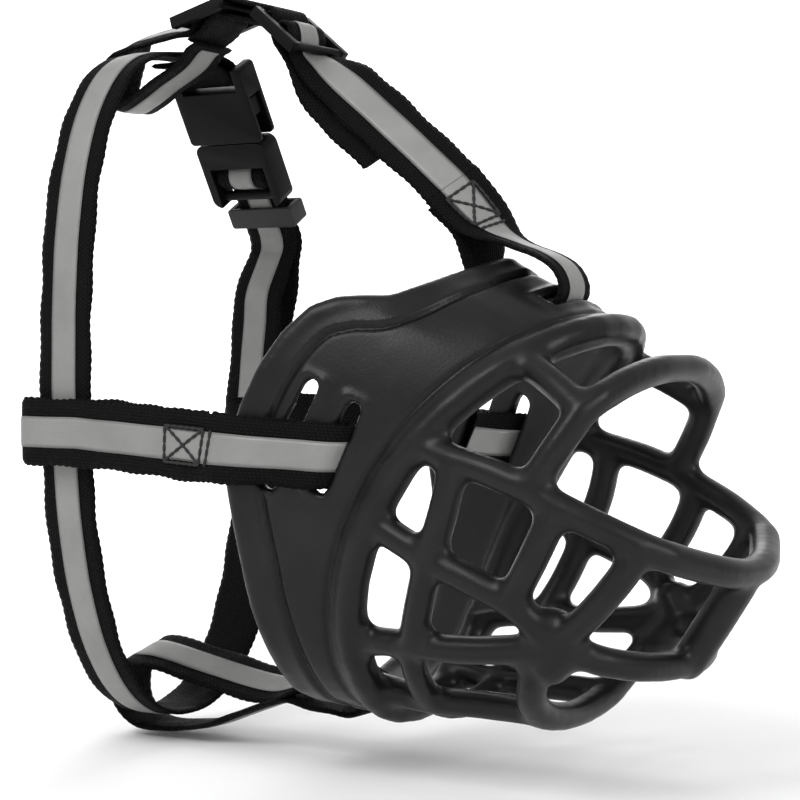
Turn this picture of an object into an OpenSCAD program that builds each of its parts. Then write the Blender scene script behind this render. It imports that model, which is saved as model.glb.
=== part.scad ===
// Basket muzzle for a large dog: a soft moulded basket and its webbing harness.
// +X points to the nose, +Y to the animal's left, +Z up. The origin is the centre of the main ring,
// where the snout enters the cage. The basket dips below the level of the cheek straps by snout_pitch.
// Basket modules are drawn level, along +X, and tipped as one.

/* [Basket] */
// dip of the snout axis below the cheek straps, degrees
snout_pitch = 25; // [20:1:30]
// half width of the main ring, to the rib's centre
ring_y = 45; // [43:0.5:46]
// half height of the main ring, to the rib's centre
ring_z = 62.5; // [60:0.5:64]
// thickness of the thick rib of the main ring
rib_d = 10; // [8:0.5:10.5]
// thickness of the cage bars
bar_d = 8.4; // [6.6:0.2:8.8]
// thickness of the nose bumper
bumper_d = 8.8; // [7:0.2:9]
// wall of the cuff
cuff_t = 3.2; // [2.4:0.2:4]
// thickness of the bead round the cuff's open edge
bead_d = 5; // [4:0.2:6]

/* [Webbing] */
// width of every strap
web_w = 20; // [18:0.5:20]
// thickness of the webbing
web_t = 1.6; // [1.2:0.1:1.8]
// width of the reflective tape
tape_w = 9; // [7:0.5:11]
// thickness of the reflective tape
tape_t = 0.3; // [0.2:0.05:0.4]
// half width of the neck loop
neck_y = 48.5; // [48:0.5:50]
// half height of the neck loop
neck_z = 101; // [98:1:102]

/* [Hardware] */
// length of the side-release buckle's socket
socket_l = 25; // [24:0.5:26]
// width of the buckle
buckle_w = 28; // [27:0.5:29]
// thickness of the buckle
buckle_t = 9; // [8.5:0.5:9.5]
// width of the sliders
slider_w = 27; // [26:0.5:29]
// size of the sliders' bars
slider_bar = 2.8; // [2.4:0.1:3]

/* [Hidden] */

rubber = [0.10, 0.10, 0.10];
black = [0.06, 0.06, 0.06];
silver = [0.66, 0.66, 0.65];
plastic = [0.08, 0.08, 0.08];
grey = [0.27, 0.27, 0.27];
gap = 0.35;

// ---------- curves ----------
// one point of a Catmull-Rom curve through four points
function blend4(a, b, c, d, t) = 0.5 * (2 * b + (c - a) * t + (2 * a - 5 * b + 4 * c - d) * t * t
    + (3 * b - a - 3 * c + d) * t * t * t);
// a smooth open curve through the points p, with n steps between each two
function smooth(p, n) = let (m = len(p) - 1) concat([for (i = [0:m - 1], k = [0:n - 1])
    blend4(i > 0 ? p[i - 1] : 2 * p[0] - p[1], p[i], p[i + 1],
        i < m - 1 ? p[i + 2] : 2 * p[m] - p[m - 1], k / n)],
    [p[m]]);
function flip(p) = [for (q = p) [q[0], -q[1], q[2]]];
// a path across the basket: the near half, the middle point, and the far half
function span(near, middle) = concat(near, [middle], flip([for (i = [len(near) - 1:-1:0]) near[i]]));
function unit(v) = v / norm(v);
// the 2D direction along a path at point i, and its left-hand normal
function along(p, i) = unit(p[min(i + 1, len(p) - 1)] - p[max(i - 1, 0)]);
function left(v) = [-v[1], v[0]];
function shifted(p, d) = [for (i = [0:len(p) - 1]) p[i] + d * left(along(p, i))];
// part of a path, from point a to point b
function part_of(p, a, b) = [for (i = [a:b]) p[i]];

// ---------- basket skeleton, level, near side has negative y ----------
function ring_x(z) = 2.5 + 0.0045 * (z + 10) * (z + 10);
// the ring is a little squarer than an ellipse
ring_power = 2.25;
function squared(v) = sign(v) * pow(abs(v), 2 / ring_power);
function ring_point(a) = let (z = ring_z * squared(sin(a))) [ring_x(z), -ring_y * squared(cos(a)), z];
// nodes of the cage on the near side
L1_ring = [18.8, -29, 50.2];
L1_arch = [45, -39, 48];
L2_ring = [6, -43, 19];
L2_h1 = [19.5, -45, 21.5];
L2_arch = [42.5, -45, 24.5];
L2_n2 = [51, -44, 24];
L2_n3 = [74, -36.5, 23.5];
nose = [89.6, 0, 21];
L3_ring = [2.5, -45, -5];
L3_h1 = [23.5, -45, -5.5];
L3_n2 = [49, -43, -5];
gusset = [63, -37, -11];
L4_ring = [7, -33, -42];
L4_h1 = [24.5, -37, -32];
hoop_foot = [59.5, -33.5, -24];
chin_foot = [74, -30, -10.5];
arch_foot = [46.2, -35.5, 52];
bumper_foot = [79, -32, 23.2];
chin = [84.5, 0, -9];
lower_side_bar = [L4_ring, [15, -36, -36.5], L4_h1, [37, -37.5, -26.5], [49, -37, -20], gusset];
h1_bar = [L2_h1, [22.5, -46, 8], L3_h1, [24.5, -42, -20], L4_h1];
side_bars = [
    [L1_ring, [32, -34.5, 49.8], L1_arch],
    [L2_ring, L2_h1, [31, -45.5, 23.5], L2_arch],
    [L2_arch, L2_n2, [63, -41.5, 24], L2_n3],
    [L3_ring, L3_h1, [37, -44.5, -5], L3_n2, [57, -40, -8], gusset],
    lower_side_bar,
    h1_bar,
    [L2_n2, [51, -45, 10], L3_n2],
    [L2_n3, [72, -38.5, 12], [68.5, -38.5, 1], gusset],
    [L1_arch, [44, -43, 37], L2_arch],
    [L1_arch, arch_foot],
    [L2_n3, bumper_foot],
    [gusset, chin_foot],
    [gusset, hoop_foot]];
arch_bar = span([arch_foot, [47.2, -25, 57.2], [48, -12, 60.6]], [48.2, 0, 61.2]);
bumper = span([bumper_foot, [83.2, -24, 22.4], [88, -12.5, 21.6]], nose);
chin_bar = span([chin_foot, [79.6, -21.5, -10], [83.2, -10, -9.5]], chin);
post = [[88.4, 0, 17], [86.6, 0, 4], chin];
hoop = span([hoop_foot, [59, -28, -31], [60, -18, -36.5]], [60.5, 0, -39]);
under_bar = [[11.5, -20, -55], [26, -19, -51], [42, -19, -43.5], [60, -20, -35.5]];
under_cross = span([L4_h1, [26, -31, -41], [28, -19, -50]], [29, 0, -54.5]);

// the cuff's open edge on the near side, from the top to the bottom
cuff_edge = [[-11, 0, 64.5], [-14, -24, 56.5], [-20, -36, 48], [-29, -41, 44], [-36.5, -45, 37.5],
    [-40.5, -49.5, 24], [-41, -52, 8], [-38.5, -53, -8], [-31, -52.5, -20], [-23.5, -51, -31], [-18,
    -48, -41],
    [-13.5, -43, -49.5], [-10, -35, -58], [-7.5, -22, -66], [-5.5, 0, -71]];
edge_near = smooth(cuff_edge, 3);
edge_loop = concat(edge_near, flip([for (i = [len(edge_near) - 2:-1:1]) edge_near[i]]));
// outward direction round the ring, and the ring's point that an edge point runs to
function out_at(p) = unit([0, p[1] / (ring_y * ring_y), p[2] / (ring_z * ring_z)]);
function ring_for(p) = ring_point(atan2(p[2] / ring_z, -p[1] / ring_y));
function cuff_outer(p, s) = let (r = ring_for(p)) r + (p - r) * s + out_at(p) * (1.6 + 0.8 * sin(180 * s));
cuff_rows = 6;
function cuff_skin(d) = [for (k = [0:cuff_rows], p = edge_loop) cuff_outer(p,
    k / cuff_rows) - out_at(p) * d];

module tipped() {
    rotate([0, snout_pitch, 0]) children();
}

// a round bar along a path: a chain of ball pairs
module bar(path, d, steps = 3) {
    q = smooth(path, steps);
    for (i = [0:len(q) - 2]) {
        hull() {
            translate(q[i]) ball(d);
            translate(q[i + 1]) ball(d);
        }
    }
}

module ball(d) {
    rotate([90, 0, 0]) sphere(d = d, $fn = 8);
}

module ring_solid() {
    steps = 40;
    for (i = [0:steps - 1]) {
        hull() {
            translate(ring_point(360 * i / steps)) ball(rib_d);
            translate(ring_point(360 * (i + 1) / steps)) ball(rib_d);
        }
    }
}

module cuff_wall() {
    n = len(edge_loop);
    half = (cuff_rows + 1) * n;
    pts = concat(cuff_skin(0), cuff_skin(cuff_t));
    faces = concat(
        [for (k = [0:cuff_rows - 1], i = [0:n - 1]) let (a = k * n + i, b = k * n + (i + 1) % n) [a, b,
        b + n, a + n]],
        [for (k = [0:cuff_rows - 1], i = [0:n - 1]) let (a = half + k * n + i,
        b = half + k * n + (i + 1) % n)
            [a, a + n, b + n, b]],
        [for (i = [0:n - 1]) let (j = (i + 1) % n) [i, half + i, half + j, j]],
        [for (i = [0:n - 1]) let (a = cuff_rows * n + i, b = cuff_rows * n + (i + 1) % n) [a, b,
        half + b, half + a]]);
    polyhedron(points = pts, faces = faces, convexity = 8);
}

module cuff_bead() {
    n = len(edge_loop);
    for (i = [0:2:n - 1]) {
        hull() {
            translate(cuff_outer(edge_loop[i], 1) - out_at(edge_loop[i]) * cuff_t / 2) ball(bead_d);
            translate(cuff_outer(edge_loop[(i + 2) % n],
                1) - out_at(edge_loop[(i + 2) % n]) * cuff_t / 2) ball(bead_d);
        }
    }
}

// the slots that the straps pass through; the cheek slots are [x from, x to, z from, z to]
cheek_slots = [[-15.5, -10, -4.6, 22.6], [-29.5, -24, -10.2, 23]];
top_slot = [7, 13];
bottom_slot = [0, 5];
strap_slot_y = 11.5;
module cuff_slots() {
    for (s = cheek_slots) {
        translate([s[0], -70, s[2]]) cube([s[1] - s[0], 140, s[3] - s[2]]);
    }
    translate([top_slot[0], -strap_slot_y, 40]) cube([top_slot[1] - top_slot[0], 2 * strap_slot_y, 40]);
    translate([bottom_slot[0], -strap_slot_y, -85]) cube([bottom_slot[1] - bottom_slot[0],
        2 * strap_slot_y, 40]);
}

module cuff() {
    color(rubber) tipped() difference() {
        union() {
            cuff_wall();
            cuff_bead();
        }
        cuff_slots();
        ring_solid();
    }
}

module main_ring() {
    color(rubber) tipped() ring_solid();
}

// side of the cage; the arch, bumper, chin guard and hoop meet it at flat joints
module side_cage(side) {
    color(rubber) tipped() mirror([0, side > 0 ? 1 : 0, 0]) difference() {
        union() {
            for (p = side_bars) {
                bar(p, bar_d);
            }
            bar([gusset + [-3, 0, 4], gusset + [2, 1, 0], gusset + [0, 2, -6]], bar_d + 3, 2);
        }
        ring_solid();
        bar(arch_bar, bar_d);
        bar(bumper, bumper_d);
        bar(chin_bar, bar_d);
        bar(hoop, bar_d);
    }
}

module side_cage_left() {
    side_cage(1);
}

module side_cage_right() {
    side_cage(-1);
}

module top_arch() {
    color(rubber) tipped() bar(arch_bar, bar_d);
}

module nose_bumper() {
    color(rubber) tipped() bar(bumper, bumper_d);
}

module chin_guard() {
    color(rubber) tipped() difference() {
        union() {
            bar(chin_bar, bar_d);
            bar(post, bar_d + 2, 4);
        }
        bar(bumper, bumper_d);
    }
}

module lower_hoop() {
    color(rubber) tipped() difference() {
        union() {
            bar(hoop, bar_d);
            bar(under_bar, bar_d);
            bar(flip(under_bar), bar_d);
            bar(under_cross, bar_d - 0.8);
        }
        ring_solid();
        for (s = [0, 1]) {
            mirror([0, s, 0]) {
                bar(lower_side_bar, bar_d);
                bar(h1_bar, bar_d);
            }
        }
    }
}

// ---------- webbing ----------
// a flat band along a 2D path: its section is t thick, centred d to the left of the path
module band_section(path, t, d = 0) {
    a = shifted(path, d + t / 2);
    b = shifted(path, d - t / 2);
    polygon(concat(a, [for (i = [len(b) - 1:-1:0]) b[i]]));
}

// a band in the upright middle plane: path of [x, z], w wide across Y
module band_xz(path, w, t, d = 0) {
    rotate([90, 0, 0]) linear_extrude(height = w, center = true) band_section(path, t, d);
}

// a band in the neck plane: path of [y, z], w wide along X
module band_yz(path, w, t, d = 0) {
    translate([neck_x, 0, 0]) rotate([90, 0, 90]) linear_extrude(height = w, center = true)
        band_section(path, t, d);
}

// neck loop, seen from the front: [y, z], running down the right side, under and up the left side
neck_x = -103;
neck_mid = 29;
neck_power = 2.3;
// the right side's upper corner is squarer than the rest
neck_corner_power = 2.8;
function neck_power_at(a) = a < 180 ? neck_corner_power : neck_power;
function neck_point(a) = let (c = cos(a), s = sin(a), k = 2 / neck_power_at(a)) [
    neck_y * sign(c) * pow(abs(c), k), neck_mid + neck_z * sign(s) * pow(abs(s), k)];
buckle_pos = [neck_x, 34, 108];
buckle_tilt = 31;
// from a point in the buckle's own frame to the neck plane's [y, z]
function from_buckle(u, v) = [buckle_pos[1] + u * cos(buckle_tilt) - v * sin(buckle_tilt),
    buckle_pos[2] + u * sin(buckle_tilt) + v * cos(buckle_tilt)];
// the bars of the buckle that the strap turns round, along the buckle
socket_bar_v = 21.8;
plug_bar_v = -13.4;
lock_bar_v = -20.5;
buckle_bar = 3.2;
wrap_r = buckle_bar / 2 + gap + web_t / 2;
// the strap leaves the socket, goes over the neck, down the right side, under, and up the left side
neck_path = concat(
    smooth([[4, 128.5], [11, 128.7], [16.5, 127.4], from_buckle(-wrap_r, socket_bar_v),
        from_buckle(-0.7 * wrap_r, socket_bar_v - 0.7 * wrap_r), from_buckle(0, socket_bar_v - wrap_r),
        from_buckle(0.7 * wrap_r, socket_bar_v - 0.7 * wrap_r), from_buckle(wrap_r, socket_bar_v),
        [20.5, 130.3], [14, 131.4], [8, 131.3], [2, 130.8], neck_point(98)], 3),
    [for (a = [105:6:351]) neck_point(a)]);
neck_tape_start = 22;
// how far the two layers of the strap stand from the lock bar
tail_u = buckle_bar / 2 + gap + tape_t + web_t / 2;
main_u = tail_u + web_t + 0.3;
neck_end_path = smooth([neck_point(351), [49.5, 30], [54, 44], [57.2, 58], [57.4, 68],
    from_buckle(main_u + 0.7, -38),
    from_buckle(main_u, -31), from_buckle(main_u, -25), from_buckle(main_u, -20), from_buckle(4, -16.4),
    from_buckle(wrap_r, plug_bar_v), from_buckle(0.7 * wrap_r, plug_bar_v + 0.7 * wrap_r),
    from_buckle(0, plug_bar_v + wrap_r), from_buckle(-0.7 * wrap_r, plug_bar_v + 0.7 * wrap_r),
    from_buckle(-wrap_r, plug_bar_v), from_buckle(-2.4, -15.2), from_buckle(-0.9, -16.7),
    from_buckle(1, -17.4),
    from_buckle(2.4, -18.5), from_buckle(tail_u + 0.1, lock_bar_v), from_buckle(tail_u, -24),
    from_buckle(tail_u, -27), from_buckle(tail_u, -32), from_buckle(2.2, -40), [48.6, 64],
    [47, 51], [45, 38], [43.2, 24]], 2);

module neck_strap() {
    color(black) band_yz(neck_path, web_w, web_t);
}

module neck_strap_end() {
    color(black) band_yz(neck_end_path, web_w, web_t);
}

// the tape lies on the face that is outside round the neck
tape_off = (web_t + tape_t) / 2 + 0.05;
module neck_tape() {
    color(silver) band_yz(part_of(neck_path, neck_tape_start, len(neck_path) - 1), tape_w, tape_t,
        -tape_off);
}

module neck_tape_end() {
    color(silver) band_yz(neck_end_path, tape_w, tape_t, -tape_off);
}

// a strap whose width direction turns as it runs: stations are [centre, width direction, outward direction]
module ribbon(st, w, t, d = 0) {
    n = len(st);
    pts = [for (s = st) let (c = s[0] + s[2] * d, a = unit(s[1]) * w / 2,
        b = s[2] * t / 2) each [c - a - b, c + a - b, c + a + b, c - a + b]];
    faces = concat([[0, 1, 2, 3]], [for (i = [0:n - 2], k = [0:3]) let (a = 4 * i + k,
        b = 4 * i + (k + 1) % 4)
        [a, a + 4, b + 4, b]], [[4 * n - 1, 4 * n - 2, 4 * n - 3, 4 * n - 4]]);
    polyhedron(points = pts, faces = faces, convexity = 10);
}

// cheek strap seen from above: [x, y] of the near side; it runs from the stitches back round the neck strap,
// forward over the cuff, in at the front slot, out at the rear slot and back to the stitches
cheek_z = 16;
cheek_path = [[-47, -55.6], [-56, -54.5], [-66, -52.6], [-74, -50.4], [-84, -46.6], [-94, -45.6],
    [-104, -45.6],
    [-113, -46], [-116.2, -48.6], [-116, -51.6], [-113, -53.4], [-104, -53.6], [-90, -54], [-72, -55.5],
    [-64, -56.2], [-56, -57], [-48, -57.9], [-39.5, -59], [-32, -58.3], [-24, -55.8], [-17, -53.7],
    [-12.2, -52.5],
    [-9.8, -51.2], [-8.5, -48.6], [-8.7, -46.2], [-10.6, -44.7], [-15, -45], [-19.4, -46.2], [-22.2, -48.2],
    [-23.7, -50.7], [-25.2, -53.8], [-28.4, -55.8], [-33, -56.6], [-39.5, -57], [-45.3, -56.4]];

// the band turns to lie along the cuff's slots: 0 at the neck, 1 at the slots
function slot_turn(x) = max(0, min(1, (x + 62) / 40));
cheek_drop = 4.5;
function cheek_height(x) = cheek_z - cheek_drop * max(0, (x + 94) / 82);
cheek_stations = let (p = smooth(cheek_path, 3)) [for (i = [0:len(p) - 1])
    let (g = along(p, i), tilt = snout_pitch * slot_turn(p[i][0]))
    [[p[i][0], p[i][1], cheek_height(p[i][0])], [sin(tilt), 0, cos(tilt)], [g[1], -g[0], 0]]];

module cheek_strap(side) {
    color(black) mirror([0, side > 0 ? 1 : 0, 0]) ribbon(cheek_stations, web_w, web_t);
}

module cheek_strap_left() {
    cheek_strap(1);
}

module cheek_strap_right() {
    cheek_strap(-1);
}

cheek_tape_range = [10, 71];
module cheek_tape(side) {
    color(silver) mirror([0, side > 0 ? 1 : 0, 0])
        ribbon(part_of(cheek_stations, cheek_tape_range[0], cheek_tape_range[1]), tape_w, tape_t, tape_off);
}

module cheek_tape_left() {
    cheek_tape(1);
}

module cheek_tape_right() {
    cheek_tape(-1);
}

// from the level basket's [x, z] to the tipped one
function tip(p) = [p[0] * cos(snout_pitch) + p[1] * sin(snout_pitch),
    p[1] * cos(snout_pitch) - p[0] * sin(snout_pitch)];
function tips(p) = [for (q = p) tip(q)];

// forehead strap: a loop sewn through the cuff's top slot, then a doubled strap up to the front slider
forehead_loop_path = smooth(tips([[-38, 78], [-28, 74], [-18, 71.8], [-9, 71.8], [-1, 72.6], [5.5, 72],
    [10, 69],
    [11.2, 65], [9.3, 60.4], [4, 57.8], [-4, 57.2], [-12.6, 57.2], [-18.5, 60.4], [-23, 66.2], [-28, 71.4],
    [-37.5, 75.6]]), 3);
slider_front_pos = [-53.5, 133.5];
slider_front_tilt = 40;
bar_step = 7.6;
function from_front(u, v) = slider_front_pos + [u * cos(slider_front_tilt) + v * sin(slider_front_tilt),
    v * cos(slider_front_tilt) - u * sin(slider_front_tilt)];
front_weave = [[20, -3], [12, -2.7], [7.6, -2.7], [4.6, -1.2], [2.8, 1], [0, 2.6], [-2.4, 1.2], [-2.6,
    -1.6],
    [-0.6, -4], [3, -4.9], [8, -5.2], [20, -5.4]];
forehead_path = smooth(concat([tip([-38.6, 78.4]), tip([-52, 82]), tip([-70, 86.6])],
    [for (q = front_weave) from_front(q[0], q[1])], [tip([-70, 84]), tip([-60, 81.4])]), 3);

module forehead_loop() {
    color(black) band_xz(forehead_loop_path, web_w, web_t);
}

module forehead_strap() {
    color(black) band_xz(forehead_path, web_w, web_t);
}

module loop_tape() {
    color(silver) band_xz(part_of(forehead_loop_path, 0, 22), tape_w, tape_t, tape_off);
}

module forehead_tape() {
    color(silver) band_xz(part_of(forehead_path, 0, 24), tape_w, tape_t, -tape_off);
}

slider_rear_pos = [-82, 140.5];
slider_rear_tilt = -15;
function from_rear(u, v) = slider_rear_pos + [u * cos(slider_rear_tilt) + v * sin(slider_rear_tilt),
    v * cos(slider_rear_tilt) - u * sin(slider_rear_tilt)];

// link between the two sliders: a flat loop round one bar of each
link_r = slider_bar / 2 + gap + web_t / 2;
link_a = from_rear(bar_step, 0);
link_b = from_front(-bar_step, 0);
link_turn = atan2(link_b[1] - link_a[1], link_b[0] - link_a[0]);
function arc_at(c, a0, a1, n) = [for (i = [0:n]) let (a = a0 + (a1 - a0) * i / n) c + link_r * [cos(a),
    sin(a)]];
link_low = (link_a + link_b) / 2 + link_r * [sin(link_turn), -cos(link_turn)];
link_path = concat([link_low + [0.4, 0]], arc_at(link_b, link_turn - 90, link_turn + 90, 8),
    arc_at(link_a, link_turn + 90, link_turn + 270, 8), [link_low - [0.4, 0]]);

module link_strap() {
    color(black) band_xz(link_path, web_w, web_t);
}

// crown strap: a loop round the rear slider's middle bar and the neck strap
crown_weave = [[-7.6, -5.2], [-3, -4], [0, -2.6], [2.2, -1.6], [2.8, 0], [2.2, 1.6], [0, 2.6], [-2.6, 1.2],
    [-5, -1.5], [-7.6, -2.7]];
crown_path = smooth(concat([for (q = crown_weave) from_rear(q[0], q[1])],
    [[-98, 136], [-107, 134.8], [-114, 133.6], [-119.5, 130], [-122, 123], [-121, 117], [-117, 114.8],
    [-110, 117.6], [-102, 122], [-96, 125], [-91, 127.6], [-88.6, 131.4]]), 3);

module crown_strap() {
    color(black) band_xz(crown_path, web_w, web_t);
}

module crown_tape() {
    color(silver) band_xz(part_of(crown_path, 12, 50), tape_w, tape_t, -tape_off);
}

// chin strap: from the stitches back round the neck strap, forward under the cuff, up through its bottom slot
chin_path = smooth(concat([[-45.4, -60], [-56, -61.4], [-66, -61.8], [-85, -58], [-100, -54.4], [-108,
    -53.6],
    [-114.5, -56.4], [-118, -62.5], [-117.5, -70.4], [-112, -75.8], [-103, -77], [-86, -75], [-72,
    -70], [-60, -65.6]],
    tips([[-21, -80.4], [-13, -78.2], [-6, -75.6], [0, -73.4], [3, -70], [2.4, -65.4], [-1, -63.4],
        [-6.6, -63.4],
    [-11.6, -66.8], [-14.4, -71.6]])), 3);

module chin_strap() {
    color(black) band_xz(chin_path, web_w, web_t);
}

module chin_tape() {
    color(silver) band_xz(part_of(chin_path, 1, 45), tape_w, tape_t, -tape_off);
}

// box stitch: an outline with a cross, lying flat
thread = 0.6;
module stitch_box(l, h) {
    a = atan2(h, l);
    linear_extrude(height = 0.4) {
        difference() {
            square([l, h], center = true);
            square([l - 2 * thread, h - 2 * thread], center = true);
        }
        intersection() {
            square([l, h], center = true);
            union() {
                rotate(a) square([2 * l, thread], center = true);
                rotate(-a) square([2 * l, thread], center = true);
            }
        }
    }
}

module cheek_stitch(side) {
    color(black) mirror([0, side > 0 ? 1 : 0, 0])
        translate([-55.5, -58.5, cheek_height(-55.5)]) rotate([90, 0, -6]) stitch_box(14, 10.4);
}

module stitch_left() {
    cheek_stitch(1);
}

module stitch_right() {
    cheek_stitch(-1);
}

module stitch_forehead() {
    p = tip([-28.5, 75.4]);
    color(black) translate([p[0], 0, p[1]]) rotate([0, snout_pitch + 19, 0]) stitch_box(12, 9);
}

module stitch_chin() {
    color(black) translate([-51, 0, -59.55]) rotate([0, -7.5, 0]) stitch_box(11, 9);
}

// ---------- hardware ----------
// slider: three bars between two rails; local X runs along the strap, Z stands off it
rail = 2.6;
module slider() {
    l = 2 * bar_step + slider_bar + 0.6;
    color(plastic) {
        for (u = [-bar_step, 0, bar_step]) {
            translate([u, 0, 0]) rotate([90, 0, 0]) cylinder(h = slider_w, d = slider_bar,
                center = true, $fn = 24);
        }
        for (s = [-1, 1]) {
            translate([0, s * (slider_w / 2 - rail / 2 + 0.6), 0]) cube([l, rail, slider_bar + 0.6],
                center = true);
        }
    }
}

module slider_front() {
    translate([slider_front_pos[0], 0, slider_front_pos[1]]) rotate([0, slider_front_tilt, 0]) slider();
}

module slider_rear() {
    translate([slider_rear_pos[0], 0, slider_rear_pos[1]]) rotate([0, slider_rear_tilt, 0]) slider();
}

// buckle: local Z runs from the plug to the socket, X is its width, +Y faces away from the neck
module in_buckle() {
    translate(buckle_pos) rotate([buckle_tilt, 0, 0]) children();
}
shell = 1.6;
bore_t = buckle_t - 2 * shell;

// flat plate with rounded corners, standing in the XZ plane, t thick and centred on Y
module plate(w, z0, z1, t, r) {
    rotate([90, 0, 0]) linear_extrude(height = t, center = true) {
        translate([-w / 2 + r, z0]) square([w - 2 * r, z1 - z0]);
        translate([-w / 2, z0 + r]) square([w, z1 - z0 - 2 * r]);
        for (x = [-w / 2 + r, w / 2 - r], z = [z0 + r, z1 - r]) {
            translate([x, z]) circle(r = r, $fn = 32);
        }
    }
}

// socket: two faces joined by a block at the strap end, open at the sides for the prongs
prong_room = 15;
block_top = 17.6;
strap_hole = web_w + 1;
module cross_bar(v, w) {
    translate([0, 0, v]) rotate([0, 90, 0]) cylinder(h = w, d = buckle_bar, center = true, $fn = 24);
}

module buckle_socket() {
    color(plastic) in_buckle() {
        difference() {
            plate(buckle_w, 0, socket_l, buckle_t, 1.5);
            translate([-buckle_w / 2 - 1, -bore_t / 2, -1]) cube([buckle_w + 2, bore_t, prong_room + 1]);
            translate([-strap_hole / 2, -buckle_t, block_top]) cube([strap_hole, 2 * buckle_t, socket_l]);
        }
        cross_bar(socket_bar_v, buckle_w - 2);
    }
}

// plug: a ladder-lock frame with a middle tongue; its two prongs are separate
plug_top = -0.5;
plug_end = -23;
frame_top = -9.2;
tongue_w = 5;
module buckle_plug() {
    color(plastic) in_buckle() {
        difference() {
            union() {
                plate(buckle_w - 1, plug_end, plug_top, buckle_t - 1, 3);
                translate([-tongue_w / 2, -1.4, plug_top - 1]) cube([tongue_w, 2.8, 14]);
            }
            translate([-strap_hole / 2, -buckle_t, plug_end - 1]) cube([strap_hole, 2 * buckle_t,
                frame_top - plug_end + 1]);
            for (s = [-1, 1]) {
                translate([s * prong_x - 2.2, -2.2, plug_top - 4]) cube([4.4, 4.4, 5]);
            }
        }
        cross_bar(plug_bar_v, buckle_w - 3);
        cross_bar(lock_bar_v, buckle_w - 3);
    }
}

// prong: a leaf with a lug at its tip; it bends at its root
prong_x = 8.6;
module prong(side) {
    color(plastic) in_buckle() mirror([side > 0 ? 0 : 1, 0, 0]) {
        translate([prong_x - 1.4, -1.7, plug_top - 3.6]) cube([2.8, 3.4, 15]);
        translate([prong_x - 1, -2.1, plug_top + 8.6]) cube([5.2, 4.2, 5.8]);
    }
}

module prong_front() {
    prong(1);
}

module prong_rear() {
    prong(-1);
}

// keeper: a flat sleeve round both layers of the strap
keeper_v = -29.5;
keeper_u = (tail_u + main_u) / 2;
keeper_h = 7;
module keeper() {
    color(grey) in_buckle() translate([0, keeper_u, keeper_v]) difference() {
        plate(web_w + 5.4, -keeper_h / 2, keeper_h / 2, 8, 1);
        translate([-web_w / 2 - 0.6, -2.6, -keeper_h]) cube([web_w + 1.2, 5.2, 2 * keeper_h]);
    }
}

cuff();
main_ring();
side_cage_left();
side_cage_right();
top_arch();
nose_bumper();
chin_guard();
lower_hoop();
neck_strap();
neck_strap_end();
cheek_strap_left();
cheek_strap_right();
forehead_loop();
forehead_strap();
link_strap();
crown_strap();
chin_strap();
neck_tape();
neck_tape_end();
cheek_tape_left();
cheek_tape_right();
loop_tape();
forehead_tape();
crown_tape();
chin_tape();
stitch_left();
stitch_right();
stitch_forehead();
stitch_chin();
slider_front();
slider_rear();
buckle_socket();
buckle_plug();
prong_front();
prong_rear();
keeper();
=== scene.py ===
"""Looks of the basket muzzle: one soft rubber basket, woven straps with tape, box stitches and hardware.

Lengths in the tables below are millimetres in the row frame; MM turns them into metres.
"""
import math
import random

import bpy
import bmesh
import numpy as np
from mathutils import Matrix, Vector
from mathutils.kdtree import KDTree


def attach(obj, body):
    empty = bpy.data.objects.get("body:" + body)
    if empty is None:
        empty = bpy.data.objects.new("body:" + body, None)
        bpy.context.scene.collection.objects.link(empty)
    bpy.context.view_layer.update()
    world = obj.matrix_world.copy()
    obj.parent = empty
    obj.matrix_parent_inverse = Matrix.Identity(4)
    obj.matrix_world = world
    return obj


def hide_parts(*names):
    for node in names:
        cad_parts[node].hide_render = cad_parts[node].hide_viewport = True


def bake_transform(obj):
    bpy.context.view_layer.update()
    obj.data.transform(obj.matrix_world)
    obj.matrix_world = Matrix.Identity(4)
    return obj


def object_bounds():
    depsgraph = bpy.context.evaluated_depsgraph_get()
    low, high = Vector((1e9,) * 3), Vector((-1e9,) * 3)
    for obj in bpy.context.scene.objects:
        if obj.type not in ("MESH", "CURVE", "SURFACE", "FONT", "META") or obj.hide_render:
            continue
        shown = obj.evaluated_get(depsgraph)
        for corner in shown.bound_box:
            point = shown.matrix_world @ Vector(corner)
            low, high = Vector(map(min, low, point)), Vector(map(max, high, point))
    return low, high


MM = 0.001
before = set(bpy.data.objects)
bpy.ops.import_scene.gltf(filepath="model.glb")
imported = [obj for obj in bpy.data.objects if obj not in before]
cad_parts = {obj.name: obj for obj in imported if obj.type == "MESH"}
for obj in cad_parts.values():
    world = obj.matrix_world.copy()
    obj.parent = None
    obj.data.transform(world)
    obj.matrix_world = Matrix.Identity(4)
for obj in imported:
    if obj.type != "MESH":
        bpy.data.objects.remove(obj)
cad_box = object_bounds()
rng = random.Random(7)

# ---------- sizes ----------
PITCH = math.radians(25)            # dip of the basket's axis
RING_Y, RING_Z = 45.0, 62.5         # half sizes of the main ring
RING_POWER = 2.25                   # it is a little squarer than an ellipse
WEB_W, WEB_T = 20.0, 1.6            # webbing
TAPE_W, TAPE_T = 9.0, 0.3           # reflective tape
NECK_X, NECK_MID = -103.0, 29.0     # neck loop
NECK_Y, NECK_Z, NECK_POWER = 48.5, 101.0, 2.3
NECK_CORNER_POWER = 2.8             # the right side's upper corner is squarer
GAP = 0.35                          # webbing's clearance round a bar
TAPE_LIFT = (WEB_T + TAPE_T) / 2 + 0.05     # middle of the tape above the middle of the webbing
STITCH_LIFT = TAPE_LIFT + 0.25      # middle of the thread on the tape

# ---------- view ----------
VIEW_TURN, VIEW_PITCH = 32, 88.5    # degrees
CAMERA_PLACE = (0.3128, -0.5299, 0.0417)    # metres
LENS, SENSOR = 97.0, 36


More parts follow.
